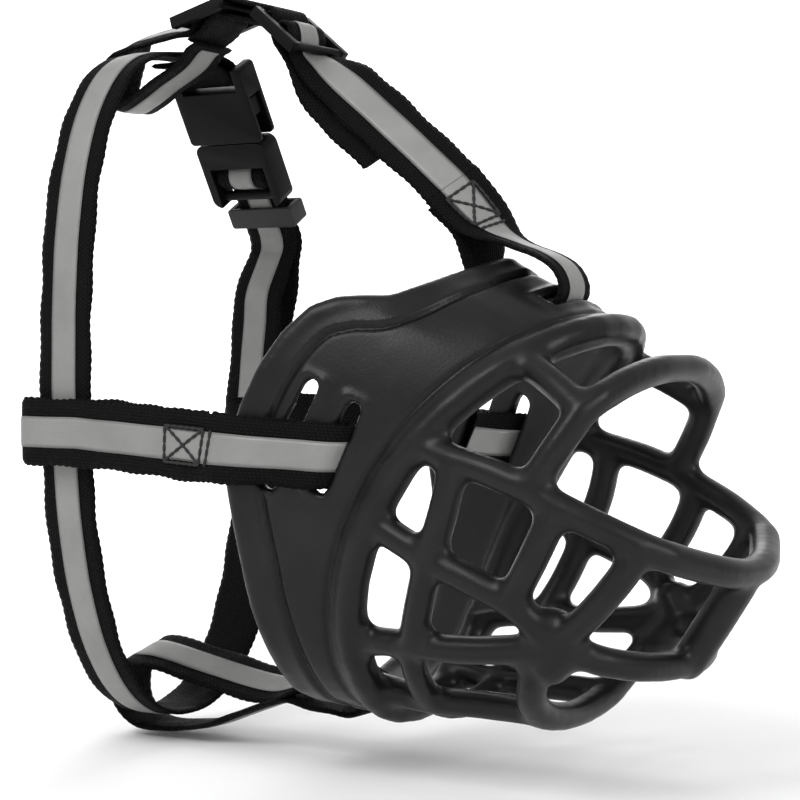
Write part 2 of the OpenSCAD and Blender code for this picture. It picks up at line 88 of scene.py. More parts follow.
# ---------- curves ----------
def smooth(points, steps):
    """A Catmull-Rom curve through the points."""
    p = [np.array(q, float) for q in points]
    p = [2 * p[0] - p[1]] + p + [2 * p[-1] - p[-2]]
    out = []
    for i in range(1, len(p) - 2):
        a, b, c, d = p[i - 1:i + 3]
        for k in range(steps):
            t = k / steps
            out.append(0.5 * (2 * b + (c - a) * t + (2 * a - 5 * b + 4 * c - d) * t * t
                              + (3 * b - a - 3 * c + d) * t ** 3))
    return out + [p[-2]]


def lengths(path):
    """Arc length at each point of a path."""
    p = np.array(path, float)
    return np.concatenate([[0], np.cumsum(np.linalg.norm(np.diff(p, axis=0), axis=1))])


def resampled(path, step):
    """The path with its points about step apart."""
    p, s = np.array(path, float), lengths(path)
    at = np.linspace(0, s[-1], max(2, int(round(s[-1] / step)) + 1))
    return np.stack([np.interp(at, s, p[:, k]) for k in range(p.shape[1])], axis=1)


def tip(x, z):
    """From the level basket's x, z to the row frame."""
    return (x * math.cos(PITCH) + z * math.sin(PITCH), z * math.cos(PITCH) - x * math.sin(PITCH))


def tips(points):
    """Level x, z points in the row frame."""
    return [tip(*q) for q in points]


def tipped(p):
    """A level point in the row frame."""
    x, z = tip(p[0], p[2])
    return Vector((x, p[1], z))


# ---------- shader helpers ----------
def new_material(name, color, roughness):
    """A material with its node tree and its Principled shader."""
    m = bpy.data.materials.new(name)
    m.use_nodes = True
    shader = m.node_tree.nodes["Principled BSDF"]
    shader.inputs["Base Color"].default_value = (*color, 1)
    shader.inputs["Roughness"].default_value = roughness
    return m, m.node_tree, shader


def node(tree, kind, **values):
    """A new shader node; the values set its sockets, or else its own settings."""
    n = tree.nodes.new(kind)
    for key, value in values.items():
        if key in n.inputs:
            n.inputs[key].default_value = value
        else:
            setattr(n, key, value)
    return n


def math_node(tree, operation, a, b=None):
    """The result of a math node on numbers or sockets."""
    n = node(tree, "ShaderNodeMath", operation=operation)
    for i, value in enumerate((a, b)):
        if value is None:
            continue
        if isinstance(value, (int, float)):
            n.inputs[i].default_value = value
        else:
            tree.links.new(value, n.inputs[i])
    return n.outputs[0]


def noise_of(tree, vector, scale, detail):
    """Noise of a place, mostly between 0.3 and 0.7."""
    n = node(tree, "ShaderNodeTexNoise")
    n.inputs["Scale"].default_value = scale
    n.inputs["Detail"].default_value = detail
    n.inputs["Roughness"].default_value = 0.55
    tree.links.new(vector, n.inputs["Vector"])
    return n.outputs["Fac"]


def spread(tree, value, low, high):
    """Maps noise, between 0.3 and 0.7, to low..high."""
    n = node(tree, "ShaderNodeMapRange")
    n.inputs["From Min"].default_value = 0.3
    n.inputs["From Max"].default_value = 0.7
    n.inputs["To Min"].default_value = low
    n.inputs["To Max"].default_value = high
    tree.links.new(value, n.inputs["Value"])
    return n.outputs["Result"]


def mixed(tree, fac, dark, light):
    """A colour from dark at 0 to light at 1."""
    n = node(tree, "ShaderNodeMix", data_type="RGBA")
    n.inputs[6].default_value = (*dark, 1)
    n.inputs[7].default_value = (*light, 1)
    tree.links.new(fac, n.inputs[0])
    return n.outputs[2]


def bumped(tree, shader, height, strength, distance):
    """Gives the shader a bump of a height."""
    n = node(tree, "ShaderNodeBump")
    n.inputs["Strength"].default_value = strength
    n.inputs["Distance"].default_value = distance
    tree.links.new(height, n.inputs["Height"])
    tree.links.new(n.outputs["Normal"], shader.inputs["Normal"])


def object_place(tree):
    """The shaded point's place on the object."""
    return node(tree, "ShaderNodeTexCoord").outputs["Object"]


# ---------- materials ----------
def rubber_material():
    """Soft moulded rubber: satin, with a fine mould texture, rubbed patches and painted shade in the
    grooves.
    """
    m, tree, shader = new_material("basket_rubber", (0.017, 0.017, 0.018), 0.45)
    place = object_place(tree)
    cloud = noise_of(tree, place, 55, 4)
    fine = noise_of(tree, place, 1400, 2)
    groove = node(tree, "ShaderNodeAttribute", attribute_name="groove").outputs["Fac"]
    base = mixed(tree, spread(tree, cloud, 0, 1), (0.006, 0.006, 0.0064), (0.0105, 0.0105, 0.0108))
    # painted shade: the colour goes to near black along the grooves, deeper than their shallow dent can
    # shade
    shade = node(tree, "ShaderNodeMix", data_type="RGBA")
    shade.inputs[7].default_value = (0.0008, 0.0008, 0.0009, 1)
    tree.links.new(groove, shade.inputs[0])
    tree.links.new(base, shade.inputs[6])
    tree.links.new(shade.outputs[2], shader.inputs["Base Color"])
    tree.links.new(spread(tree, noise_of(tree, place, 90, 3), 0.3, 0.42), shader.inputs["Roughness"])
    height = math_node(tree, "SUBTRACT", math_node(tree, "MULTIPLY", fine, 0.25), groove)
    bumped(tree, shader, height, 0.5, 0.00035)
    shader.inputs["Specular IOR Level"].default_value = 0.24
    return m


def uv_parts(tree):
    """u along the strap and v across it, both in millimetres."""
    uv = node(tree, "ShaderNodeUVMap", uv_map="strap").outputs["UV"]
    parts = node(tree, "ShaderNodeSeparateXYZ")
    tree.links.new(uv, parts.inputs[0])
    return parts.outputs["X"], parts.outputs["Y"]


def webbing_material():
    """Plain woven nylon: picks across the strap, warp ends along it, each thread a little different."""
    m, tree, shader = new_material("webbing", (0.01, 0.01, 0.0105), 0.75)
    u, v = uv_parts(tree)
    pick, end = 1.25, 0.95      # threads' pitch in millimetres
    row = math_node(tree, "FLOOR", math_node(tree, "DIVIDE", v, end))
    odd = math_node(tree, "MODULO", math_node(tree, "ABSOLUTE", row), 2.0)
    offset = math_node(tree, "MULTIPLY", odd, 0.5)
    along = math_node(tree, "ADD", math_node(tree, "DIVIDE", u, pick), offset)
    lift = math_node(tree, "MULTIPLY", along, math.pi)
    over = math_node(tree, "ABSOLUTE", math_node(tree, "SINE", lift))
    turn = math_node(tree, "MULTIPLY", math_node(tree, "DIVIDE", v, end), math.pi)
    across = math_node(tree, "ABSOLUTE", math_node(tree, "SINE", turn))
    weave = math_node(tree, "MULTIPLY", over, across)
    place = object_place(tree)
    cloud = noise_of(tree, place, 160, 4)
    # painted shade: the colour follows the weave's height, darkest in the hollows between threads; the cloud
    # makes each thread a little different
    tone = math_node(tree, "MULTIPLY", weave, spread(tree, cloud, 0.35, 1.0))
    base = mixed(tree, tone, (0.0014, 0.0014, 0.0015), (0.009, 0.009, 0.0092))
    tree.links.new(base, shader.inputs["Base Color"])
    fuzz = math_node(tree, "MULTIPLY", noise_of(tree, place, 2600, 2), 0.5)
    bumped(tree, shader, math_node(tree, "ADD", weave, fuzz), 0.85, 0.00035)
    tree.links.new(spread(tree, cloud, 0.6, 0.85), shader.inputs["Roughness"])
    shader.inputs["Specular IOR Level"].default_value = 0.08
    return m


def tape_material():
    """Reflective tape: light grey with fine ribs along it, soft stains and a slight metal sheen."""
    m, tree, shader = new_material("reflective_tape", (0.4, 0.4, 0.395), 0.5)
    v = uv_parts(tree)[1]
    rib_pitch = 0.55            # millimetres
    rib = math_node(tree, "SINE", math_node(tree, "MULTIPLY", v, 2 * math.pi / rib_pitch))
    place = object_place(tree)
    cloud = noise_of(tree, place, 70, 4)
    grain = noise_of(tree, place, 2200, 2)
    base = mixed(tree, spread(tree, cloud, 0, 1), (0.215, 0.215, 0.21), (0.258, 0.258, 0.253))
    tree.links.new(base, shader.inputs["Base Color"])
    height = math_node(tree, "ADD", math_node(tree, "MULTIPLY", rib, 0.35), grain)
    bumped(tree, shader, height, 0.25, 0.0002)
    tree.links.new(spread(tree, noise_of(tree, place, 240, 3), 0.42, 0.6), shader.inputs["Roughness"])
    shader.inputs["Metallic"].default_value = 0.15
    return m


def thread_material():
    """Dark twisted sewing thread."""
    m, tree, shader = new_material("thread", (0.012, 0.012, 0.013), 0.65)
    place = object_place(tree)
    twist = noise_of(tree, place, 3000, 2)
    base = mixed(tree, twist, (0.0025, 0.0025, 0.003), (0.008, 0.008, 0.0085))
    tree.links.new(base, shader.inputs["Base Color"])
    bumped(tree, shader, twist, 0.6, 0.0001)
    return m


def plastic_material(name, dark, light, rough, gloss):
    """Moulded plastic with a fine spark-eroded grain and edges worn a little lighter."""
    m, tree, shader = new_material(name, dark, rough)
    place = object_place(tree)
    grain = noise_of(tree, place, 1800, 3)
    cloud = noise_of(tree, place, 120, 3)
    edge = node(tree, "ShaderNodeNewGeometry").outputs["Pointiness"]
    worn = node(tree, "ShaderNodeMapRange")
    worn.inputs["From Min"].default_value = 0.52
    worn.inputs["From Max"].default_value = 0.62
    tree.links.new(edge, worn.inputs["Value"])
    tone = math_node(tree, "ADD", math_node(tree, "MULTIPLY", cloud, 0.5),
                     math_node(tree, "MULTIPLY", worn.outputs["Result"], 0.5))
    tree.links.new(mixed(tree, tone, dark, light), shader.inputs["Base Color"])
    tree.links.new(spread(tree, cloud, rough - 0.06, rough + 0.08), shader.inputs["Roughness"])
    bumped(tree, shader, grain, 0.3, 0.00012)
    shader.inputs["Specular IOR Level"].default_value = gloss
    return m


def paper_material():
    """Pale studio paper, very slightly uneven."""
    m, tree, shader = new_material("studio_paper", (0.95, 0.95, 0.95), 0.9)
    cloud = noise_of(tree, object_place(tree), 6, 2)
    base = mixed(tree, cloud, (0.94, 0.94, 0.94), (0.96, 0.96, 0.96))
    tree.links.new(base, shader.inputs["Base Color"])
    return m


RUBBER = rubber_material()
WEBBING = webbing_material()
TAPE = tape_material()
THREAD = thread_material()
PLASTIC = plastic_material("hardware_plastic", dark=(0.0015, 0.0015, 0.0017), light=(0.008, 0.008, 0.0083),
                           rough=0.42, gloss=0.1)
KEEPER = plastic_material("keeper_plastic", dark=(0.022, 0.022, 0.022), light=(0.038, 0.038, 0.038),
                          rough=0.52, gloss=0.25)


# ---------- mesh helpers ----------
def new_object(name, vertices, faces, material):
    """A smooth-shaded object from its vertices and faces."""
    mesh = bpy.data.meshes.new(name)
    mesh.from_pydata([tuple(v) for v in vertices], [], faces)
    mesh.materials.append(material)
    mesh.validate()
    mesh.shade_smooth()
    obj = bpy.data.objects.new(name, mesh)
    bpy.context.collection.objects.link(obj)
    return obj


def apply_modifiers(obj):
    """Turns the object's modifiers into its mesh."""
    graph = bpy.context.evaluated_depsgraph_get()
    mesh = bpy.data.meshes.new_from_object(obj.evaluated_get(graph))
    obj.modifiers.clear()
    obj.data = mesh


def remeshed(obj, voxel):
    """Rebuilds the surface from voxels."""
    m = obj.modifiers.new("remesh", "REMESH")
    m.mode = "VOXEL"
    m.voxel_size = voxel
    apply_modifiers(obj)


def swollen(obj, by):
    """Moves the whole surface out along its normals."""
    m = obj.modifiers.new("swell", "DISPLACE")
    m.mid_level = 0
    m.strength = by
    apply_modifiers(obj)


def relaxed(obj, turns):
    """Smooths the surface."""
    m = obj.modifiers.new("relax", "SMOOTH")
    m.factor = 0.5
    m.iterations = turns
    apply_modifiers(obj)


def joined_copy(name, node_names):
    """One object with copies of these CAD nodes' meshes."""
    bm = bmesh.new()
    for n in node_names:
        bm.from_mesh(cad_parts[n].data)
    bmesh.ops.remove_doubles(bm, verts=bm.verts, dist=0.00001)
    mesh = bpy.data.meshes.new(name)
    bm.to_mesh(mesh)
    bm.free()
    obj = bpy.data.objects.new(name, mesh)
    bpy.context.collection.objects.link(obj)
    return obj


# ---------- basket ----------
BASKET_NODES = ("cuff", "main_ring", "side_cage_left", "side_cage_right", "top_arch", "nose_bumper",
                "chin_guard", "lower_hoop")
# the cuff's open edge on the near side, from the top to the bottom, level
CUFF_EDGE = [(-11, 0, 64.5), (-14, -24, 56.5), (-20, -36, 48), (-29, -41, 44), (-36.5, -45, 37.5),
             (-40.5, -49.5, 24), (-41, -52, 8), (-38.5, -53, -8), (-31, -52.5, -20), (-23.5, -51, -31),
             (-18, -48, -41), (-13.5, -43, -49.5), (-10, -35, -58), (-7.5, -22, -66), (-5.5, 0, -71)]
BAND_W = 7.5          # width of the thickened band inside the open edge
BAND_RISE = 0.7       # how far it stands out
BAND_SLOPE = 0.9      # width of its sloping side
GROOVE = 0.75         # half width of a moulded groove
GROOVE_DEPTH = 0.7
EDGE_GROOVE = BAND_W + 0.4    # distance of the band's groove from the open edge
RING_GROOVE = 6.6     # distance of the shallower groove from the middle of the main ring
RING_SHARE = 0.8      # its depth beside the other's


def ring_x(z):
    """How far forward the main ring stands at a height, level."""
    return 2.5 + 0.0045 * (z + 10) ** 2


def ring_point(a):
    """A point of the main ring, level."""
    y, z = (math.copysign(abs(t) ** (2 / RING_POWER), t) for t in (-math.cos(a), math.sin(a)))
    return (ring_x(RING_Z * z), RING_Y * y, RING_Z * z)


def nearest(points):
    """A search tree of the points."""
    tree = KDTree(len(points))
    for i, p in enumerate(points):
        tree.insert(p, i)
    tree.balance()
    return tree


# the strap slots, level: centre, half width, half length and the way through
SLOTS = [((-13.3, s * 50, 9.0), (2.15, 0, 0), (0, 0, 13.4), (0, 18, 0)) for s in (-1, 1)]
SLOTS += [((-26.75, s * 52, 6.5), (2.3, 0, 0), (0, 0, 16.2), (0, 18, 0)) for s in (-1, 1)]
SLOTS += [((10, 0, 62), (3.1, 0, 0), (0, 11.6, 0), (0, 0, 14))]
SLOTS += [((2.5, 0, -66), (2.6, 0, 0), (0, 11.6, 0), (0, 0, 14))]
SLOT_POWER = 0.45      # below 1 the slots' ends are square with round corners
LIP_W, LIP_RISE = 2.2, 0.8     # the raised lip round a slot
LIP_REACH = 6                  # no lip is felt further than this from the slot


def cut_slot(skin, centre, half_a, half_b, through):
    """Opens a strap slot again, with round corners, after the fillets have closed on it."""
    turns = 32
    centre, half_a, half_b, through = (np.array(v, float) for v in (centre, half_a, half_b, through))
    bm = bmesh.new()
    rims = []
    for end in (-1, 1):
        rim = []
        for a in np.linspace(0, 2 * math.pi, turns, endpoint=False):
            c, s = (math.copysign(abs(t) ** SLOT_POWER, t) for t in (math.cos(a), math.sin(a)))
            rim.append(bm.verts.new(tipped(centre + c * half_a + s * half_b + end * through) * MM))
        rims.append(rim)
    for i in range(turns):
        j = (i + 1) % turns
        bm.faces.new((rims[0][i], rims[0][j], rims[1][j], rims[1][i]))
    bm.faces.new(rims[0])
    bm.faces.new(rims[1])
    bmesh.ops.recalc_face_normals(bm, faces=bm.faces)
    mesh = bpy.data.meshes.new("cutter")
    bm.to_mesh(mesh)
    bm.free()
    cutter = bpy.data.objects.new("cutter", mesh)
    bpy.context.collection.objects.link(cutter)
    m = skin.modifiers.new("slot", "BOOLEAN")
    m.operation = "DIFFERENCE"
    m.object = cutter
    m.solver = "EXACT"
    apply_modifiers(skin)
    bpy.data.objects.remove(cutter)


def slot_gap(level, centre, half_a, half_b, through):
    """Distance of a level point from a slot's outline, or None away from that slot."""
    d = np.abs(np.array(level) - np.array(centre))
    if (d > np.abs(np.array(half_a) + np.array(half_b) + np.array(through)) + LIP_REACH).any():
        return None
    out = np.maximum(d - np.abs(np.array(half_a) + np.array(half_b) + 1.2 * np.array(through)), 0)
    return float(np.linalg.norm(out))


def fused_skin():
    """The eight rubber nodes as one moulding, its joints filleted by swelling and shrinking."""
    voxel = 0.0008
    fillet, kept = 0.0019, 0.0002      # kept makes up for what relaxing takes off
    skin = joined_copy("basket_skin", BASKET_NODES)
    remeshed(skin, voxel)
    relaxed(skin, 2)
    swollen(skin, fillet)
    remeshed(skin, voxel)
    relaxed(skin, 6)
    swollen(skin, -fillet + kept)
    remeshed(skin, voxel)
    for slot in SLOTS:
        cut_slot(skin, *slot)
    remeshed(skin, voxel)
    relaxed(skin, 4)
    return skin


def press_details(skin):
    """Raises the band at the open edge and the slots' lips, and presses the grooves in."""
    facing = 0.25          # a normal that leans out by more than this is on the outer side
    edge_near = smooth(CUFF_EDGE, 12)
    edge = nearest([tipped((p[0], s * p[1], p[2])) * MM for p in edge_near for s in (-1, 1)])
    ring = nearest([tipped(ring_point(a)) * MM for a in np.linspace(0, 2 * math.pi, 240)])
    mesh = skin.data
    # the groove attribute dents the surface and, in the rubber's shader, darkens its colour: painted shade
    # in the grooves
    groove = mesh.attributes.new("groove", "FLOAT", "POINT")
    values = np.zeros(len(mesh.vertices), np.float32)
    moved = []
    axis, upward = tipped((1, 0, 0)), tipped((0, 0, 1))
    for v in mesh.vertices:
        d_edge = edge.find(v.co)[2] / MM
        d_ring = ring.find(v.co)[2] / MM
        radial = v.co - axis * v.co.dot(axis)
        outside = v.normal.dot(radial.normalized()) > facing
        behind = v.co.dot(axis) / MM < ring_x(v.co.dot(upward) / MM) + 1
        rise = 0.0
        level = (v.co.dot(axis) / MM, v.co.y / MM, v.co.dot(upward) / MM)
        for slot in SLOTS:
            gap = slot_gap(level, *slot)
            if outside and gap is not None:
                rise = max(rise, LIP_RISE * math.exp(-((gap - LIP_W / 2) / (0.6 * LIP_W)) ** 2))
        if outside and behind:
            rise = max(rise, BAND_RISE * max(0.0, min(1.0, (BAND_W - d_edge) / BAND_SLOPE)))
            values[v.index] = max(math.exp(-((d_edge - EDGE_GROOVE) / GROOVE) ** 2),
                                  math.exp(-((d_ring - RING_GROOVE) / GROOVE) ** 2) * RING_SHARE)
        moved.append(v.co + v.normal * (rise - GROOVE_DEPTH * float(values[v.index])) * MM)
    for v, co in zip(mesh.vertices, moved):
        v.co = co
    groove.data.foreach_set("value", values)


def basket_skin():
    """The basket's one rubber piece, in place of its eight CAD nodes."""
    skin = fused_skin()
    press_details(skin)
    skin.data.materials.clear()
    skin.data.materials.append(RUBBER)
    skin.data.shade_smooth()
    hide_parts(*BASKET_NODES)
    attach(skin, "basket")


# ---------- strap builder ----------
class Strap:
    """A band swept along stations: centres, width directions and face normals, in millimetres."""

    def __init__(self, centres, widths, normals):
        self.c = np.array(centres, float)
        self.w = np.array([w / np.linalg.norm(w) for w in widths], float)
        self.n = np.array([n / np.linalg.norm(n) for n in normals], float)
        self.s = lengths(self.c)

    def fine(self, step):
        """The same band with its stations about step apart."""
        at = np.linspace(0, self.s[-1], max(3, int(round(self.s[-1] / step)) + 1))
        parts = [np.stack([np.interp(at, self.s, a[:, k]) for k in range(3)], axis=1)
                 for a in (self.c, self.w, self.n)]
        return Strap(*parts)

    def part(self, start, end):
        """The stretch between two arc lengths."""
        keep = (self.s >= start) & (self.s <= end)
        return Strap(self.c[keep], self.w[keep], self.n[keep])

    def at(self, s, v=0.0, lift=0.0):
        """The point s along, v across and lift above the middle of the band."""
        c, w, n = ([np.interp(s, self.s, a[:, k]) for k in range(3)] for a in (self.c, self.w, self.n))
        return Vector([c[k] + w[k] * v + n[k] * lift for k in range(3)])

    def place_of(self, point, after=0.0):
        """Arc length of the station nearest a point."""
        d = np.linalg.norm(self.c - np.array(point, float), axis=1)
        d[self.s < after] = 1e9
        return float(self.s[int(np.argmin(d))])


STATION = 0.8          # a path's points are about this far apart


def flat_strap(path, make, width_dir, side):
    """A strap whose path is 2D, with one width direction: make turns its 2D points into 3D."""
    p = resampled(path, STATION)
    g = np.gradient(p, axis=0)
    g /= np.linalg.norm(g, axis=1)[:, None]
    centres = [make(q) for q in p]
    zero = np.array(make((0, 0)), float)
    normals = [side * (np.array(make((-t[1], t[0])), float) - zero) for t in g]
    return Strap(centres, [width_dir] * len(p), normals)


def upright(path, side=1):
    """path of x, z in the middle plane."""
    return flat_strap(path, lambda q: (q[0], 0, q[1]), (0, 1, 0), side)


def neck_plane(path):
    """path of y, z in the neck plane."""
    return flat_strap(path, lambda q: (NECK_X, q[0], q[1]), (1, 0, 0), -1)


def band(name, strap, width, thick, lift, material, wander, columns, scallop=0.0):
    """Builds the band's mesh: rounded edges, woven edge loops of scallop depth, and a slow uneven edge."""
    step, edge_power = 0.55, 14
    loop_pitch, slow_pitch, slower_pitch, bow_pitch = 2.5, 3.1, 7.7, 2.2
    st = strap.fine(step)
    n = len(st.s)
    phase = [rng.uniform(0, 6.28) for _ in range(6)]
    # section: from one edge round to the other on top, and back underneath
    across = np.linspace(-1, 1, columns)
    top = [(a, math.sqrt(max(0.0, 1 - abs(a) ** edge_power))) for a in across]
    section = top + [(a, -h) for a, h in reversed(top[1:-1])]
    m = len(section)
    verts, uvs = [], []
    for i in range(n):
        s = st.s[i]
        edges = []
        for k in (0, 3):
            loop = scallop * (abs(math.sin(math.pi * s / loop_pitch + phase[k])) - 0.6)
            waves = math.sin(s / slow_pitch + phase[k + 1])
            waves += 0.7 * math.sin(s / slower_pitch + phase[k + 2])
            edges.append(width / 2 + loop + wander * waves / 1.7)
        for a, h in section:
            half = edges[0] if a < 0 else edges[1]
            v = a * half
            bow = 0.12 * scallop * math.sin(s / bow_pitch + a * 2.0 + phase[5])
            p = st.c[i] + st.w[i] * v + st.n[i] * (lift + bow + h * thick / 2)
            verts.append(p * MM)
            uvs.append((s, v))
    faces = []
    for i in range(n - 1):
        for k in range(m):
            k2 = (k + 1) % m
            faces.append((i * m + k, i * m + k2, (i + 1) * m + k2, (i + 1) * m + k))
    faces.append(tuple(range(m - 1, -1, -1)))
    faces.append(tuple((n - 1) * m + k for k in range(m)))
    obj = new_object(name, verts, faces, material)
    layer = obj.data.uv_layers.new(name="strap")
    for loop in obj.data.loops:
        layer.data[loop.index].uv = uvs[loop.vertex_index]
    obj.data.update()
    bm = bmesh.new()
    bm.from_mesh(obj.data)
    bmesh.ops.recalc_face_normals(bm, faces=bm.faces)
    bm.to_mesh(obj.data)
    bm.free()
    return obj


def web(name, strap, cad, body="basket", follow=None):
    """A length of webbing in place of a CAD node."""
    edge_loops = 0.5       # the loops stand out past the woven width
    obj = band(name, strap, WEB_W - edge_loops, WEB_T, 0, WEBBING, wander=0.45, columns=14, scallop=0.34)
    finish_piece(obj, cad, body, follow)


def tape(name, strap, cad, follow=None):
    """Reflective tape on the outer face of a strap, in place of a CAD node."""
    obj = band(name, strap, TAPE_W, TAPE_T, TAPE_LIFT, TAPE, wander=0.06, columns=8)
    finish_piece(obj, cad, "basket", follow)


def finish_piece(obj, cad, body, follow):
    """Hides the CAD node that the piece replaces, and parents the piece to its body.

    follow is (body a, body b, start, end), in millimetres, given for a piece between two bodies; only
    whether it is given is read, and then the piece is left in place with no parent.
    """
    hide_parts(cad)
    if follow:
        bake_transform(obj)
    else:
        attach(obj, body)


# ---------- stitches ----------
def stitch_run(bm, strap, start, end, lift):
    """Thread from start to end on a strap, each an (s, v) place: a row of short lock stitches."""
    stitch, gap, radius, overlap = 2.3, 0.1, 0.5, 1.25
    s0, s1 = np.array(start, float), np.array(end, float)
    total = float(np.linalg.norm(s1 - s0))
    count = max(1, int(round(total / (stitch + gap))))
    for i in range(count):
        a = s0 + (s1 - s0) * (i / count)
        b = s0 + (s1 - s0) * ((i + stitch / (stitch + gap)) / count)
        pa, pb = strap.at(a[0], a[1], lift), strap.at(b[0], b[1], lift)
        mid, d = (pa + pb) / 2, pb - pa
        turn = d.to_track_quat("Z", "Y").to_matrix().to_4x4()
        size = Matrix.Diagonal((radius * MM, radius * MM, overlap * d.length / 2 * MM, 1))
        shape = Matrix.Translation(mid * MM) @ turn @ size
        bmesh.ops.create_uvsphere(bm, u_segments=8, v_segments=6, radius=1, matrix=shape)


def stitch_piece(name, runs, strap, lift, cad):
    """All the thread of one sewn box, in place of a CAD node."""
    bm = bmesh.new()
    for start, end in runs:
        stitch_run(bm, strap, start, end, lift)
    mesh = bpy.data.meshes.new(name)
    bm.to_mesh(mesh)
    bm.free()
    mesh.materials.append(THREAD)
    mesh.shade_smooth()
    obj = bpy.data.objects.new(name, mesh)
    bpy.context.collection.objects.link(obj)
    finish_piece(obj, cad, "basket", None)


def box_stitch(s, half_l, half_w, extra=0.0):
    """A box with a cross at s along the strap, and a second end line extra past its end."""
    a, b = s - half_l, s + half_l
    runs = [((a, -half_w), (a, half_w)), ((b, -half_w), (b, half_w)), ((a, -half_w), (b, half_w)),
            ((a, half_w), (b, -half_w)), ((a, half_w), (b, half_w)), ((a, -half_w), (b, -half_w))]
    if extra > 0:
        runs.append(((b + extra, -half_w), (b + extra, half_w)))
    return runs


# ---------- neck strap ----------
BUCKLE_Y, BUCKLE_Z, BUCKLE_TILT = 34.0, 108.0, math.radians(31)
SOCKET_BAR, PLUG_BAR, LOCK_BAR = 21.8, -13.4, -20.5     # the buckle's bars, along it
BUCKLE_BAR = 3.2
WRAP_R = BUCKLE_BAR / 2 + GAP + WEB_T / 2               # middle of the webbing round a bar
TAIL_U = BUCKLE_BAR / 2 + GAP + TAPE_T + WEB_T / 2      # height of the tail over the lock bar
MAIN_U = TAIL_U + WEB_T + 0.3                           # height of the strap that lies on the tail


def from_buckle(u, v):
    """From u outward and v along the buckle to y, z."""
    c, s = math.cos(BUCKLE_TILT), math.sin(BUCKLE_TILT)
    return (BUCKLE_Y + u * c - v * s, BUCKLE_Z + u * s + v * c)


def neck_point(a):
    """A y, z point of the neck loop's outline."""
    c, s = math.cos(math.radians(a)), math.sin(math.radians(a))
    power = 2 / (NECK_CORNER_POWER if a < 180 else NECK_POWER)
    c, s = (math.copysign(abs(t) ** power, t) for t in (c, s))
    return (NECK_Y * c, NECK_MID + NECK_Z * s)


def round_bar(place, first):
    """Five points halfway round a buckle bar, from its side first, -1 or 1, to the other."""
    r, slant = WRAP_R, 0.7 * WRAP_R
    return [from_buckle(first * r, place), from_buckle(first * slant, place + first * slant),
            from_buckle(0, place + first * r), from_buckle(-first * slant, place + first * slant),
            from_buckle(-first * r, place)]


def neck_pieces():
    """The strap from the socket round the neck, then its end through the plug and back."""
    main = smooth([(4, 128.5), (11, 128.7), (16.5, 127.4)] + round_bar(SOCKET_BAR, -1)
                  + [(20.5, 130.3), (14, 131.4), (8, 131.3), (2, 130.8), neck_point(98)], 5)
    tape_from = lengths(main)[35]       # where the webbing leaves the socket's bar
    main += [np.array(neck_point(a)) for a in range(105, 352, 3)]
    strap = neck_plane(main)
    web("neck_strap_web", strap, "neck_strap")
    tape("neck_strap_tape", strap.part(tape_from, 1e9), "neck_tape")
    onto_plug = [(3.3, -42), (MAIN_U - 0.2, -38.2), (MAIN_U, -34), (MAIN_U, -28), (MAIN_U, -20),
                 (4, -16.4)]
    off_plug = [(-2.4, -15.2), (-0.9, -16.7), (1, -17.4), (2.4, -18.5), (TAIL_U + 0.1, LOCK_BAR),
                (TAIL_U, -24), (TAIL_U, -28), (TAIL_U, -34), (TAIL_U - 0.3, -38.2), (0.9, -41.8),
                (-4, -44.5)]
    end = [neck_point(351), (49.2, 30), (52.4, 43), (55.6, 56), (57.2, 67)]
    end += [from_buckle(*q) for q in onto_plug]
    end += round_bar(PLUG_BAR, 1)
    end += [from_buckle(*q) for q in off_plug]
    end += [(47.8, 58), (46.6, 49), (45, 38), (43.2, 24)]
    follow = ("basket", "plug", (NECK_X, 50, 31), (NECK_X, 54.5, 73.5))
    strap_end = neck_plane(smooth(end, 4))
    web("neck_end_web", strap_end, "neck_strap_end", follow=follow)
    tape("neck_end_tape", strap_end, "neck_tape_end", follow=follow)


# ---------- cheek straps ----------
CHEEK_PATH = [(-47, -55.6), (-56, -54.5), (-66, -52.6), (-74, -50.4), (-84, -46.6), (-94, -45.6),
              (-104, -45.6), (-113, -46), (-116.2, -48.6), (-116, -51.6), (-113, -53.4), (-104, -53.6),
              (-90, -54), (-72, -55.5), (-64, -56.2), (-56, -57), (-48, -57.9), (-39.5, -59),
              (-32, -58.3), (-24, -55.8), (-17, -53.9), (-11.4, -52.9), (-8.8, -51.6), (-7.4, -48.9),
              (-7.6, -46.2), (-9.6, -44.6), (-15, -45), (-19.4, -46.2), (-22.2, -48.2), (-23.7, -50.7),
              (-25.2, -53.8), (-28.4, -55.8), (-33, -56.6), (-39.5, -57), (-45.3, -56.4)]
CHEEK_TAPE = (-112, -52.9), (-21, -47.3)      # x, y where the tape starts and ends
CHEEK_STITCH = (-52, -57.4)                   # middle of the box stitch


def cheek_height(x):
    """Height of a cheek strap's middle line."""
    return 16 - 4.5 * max(0.0, (x + 94) / 82)


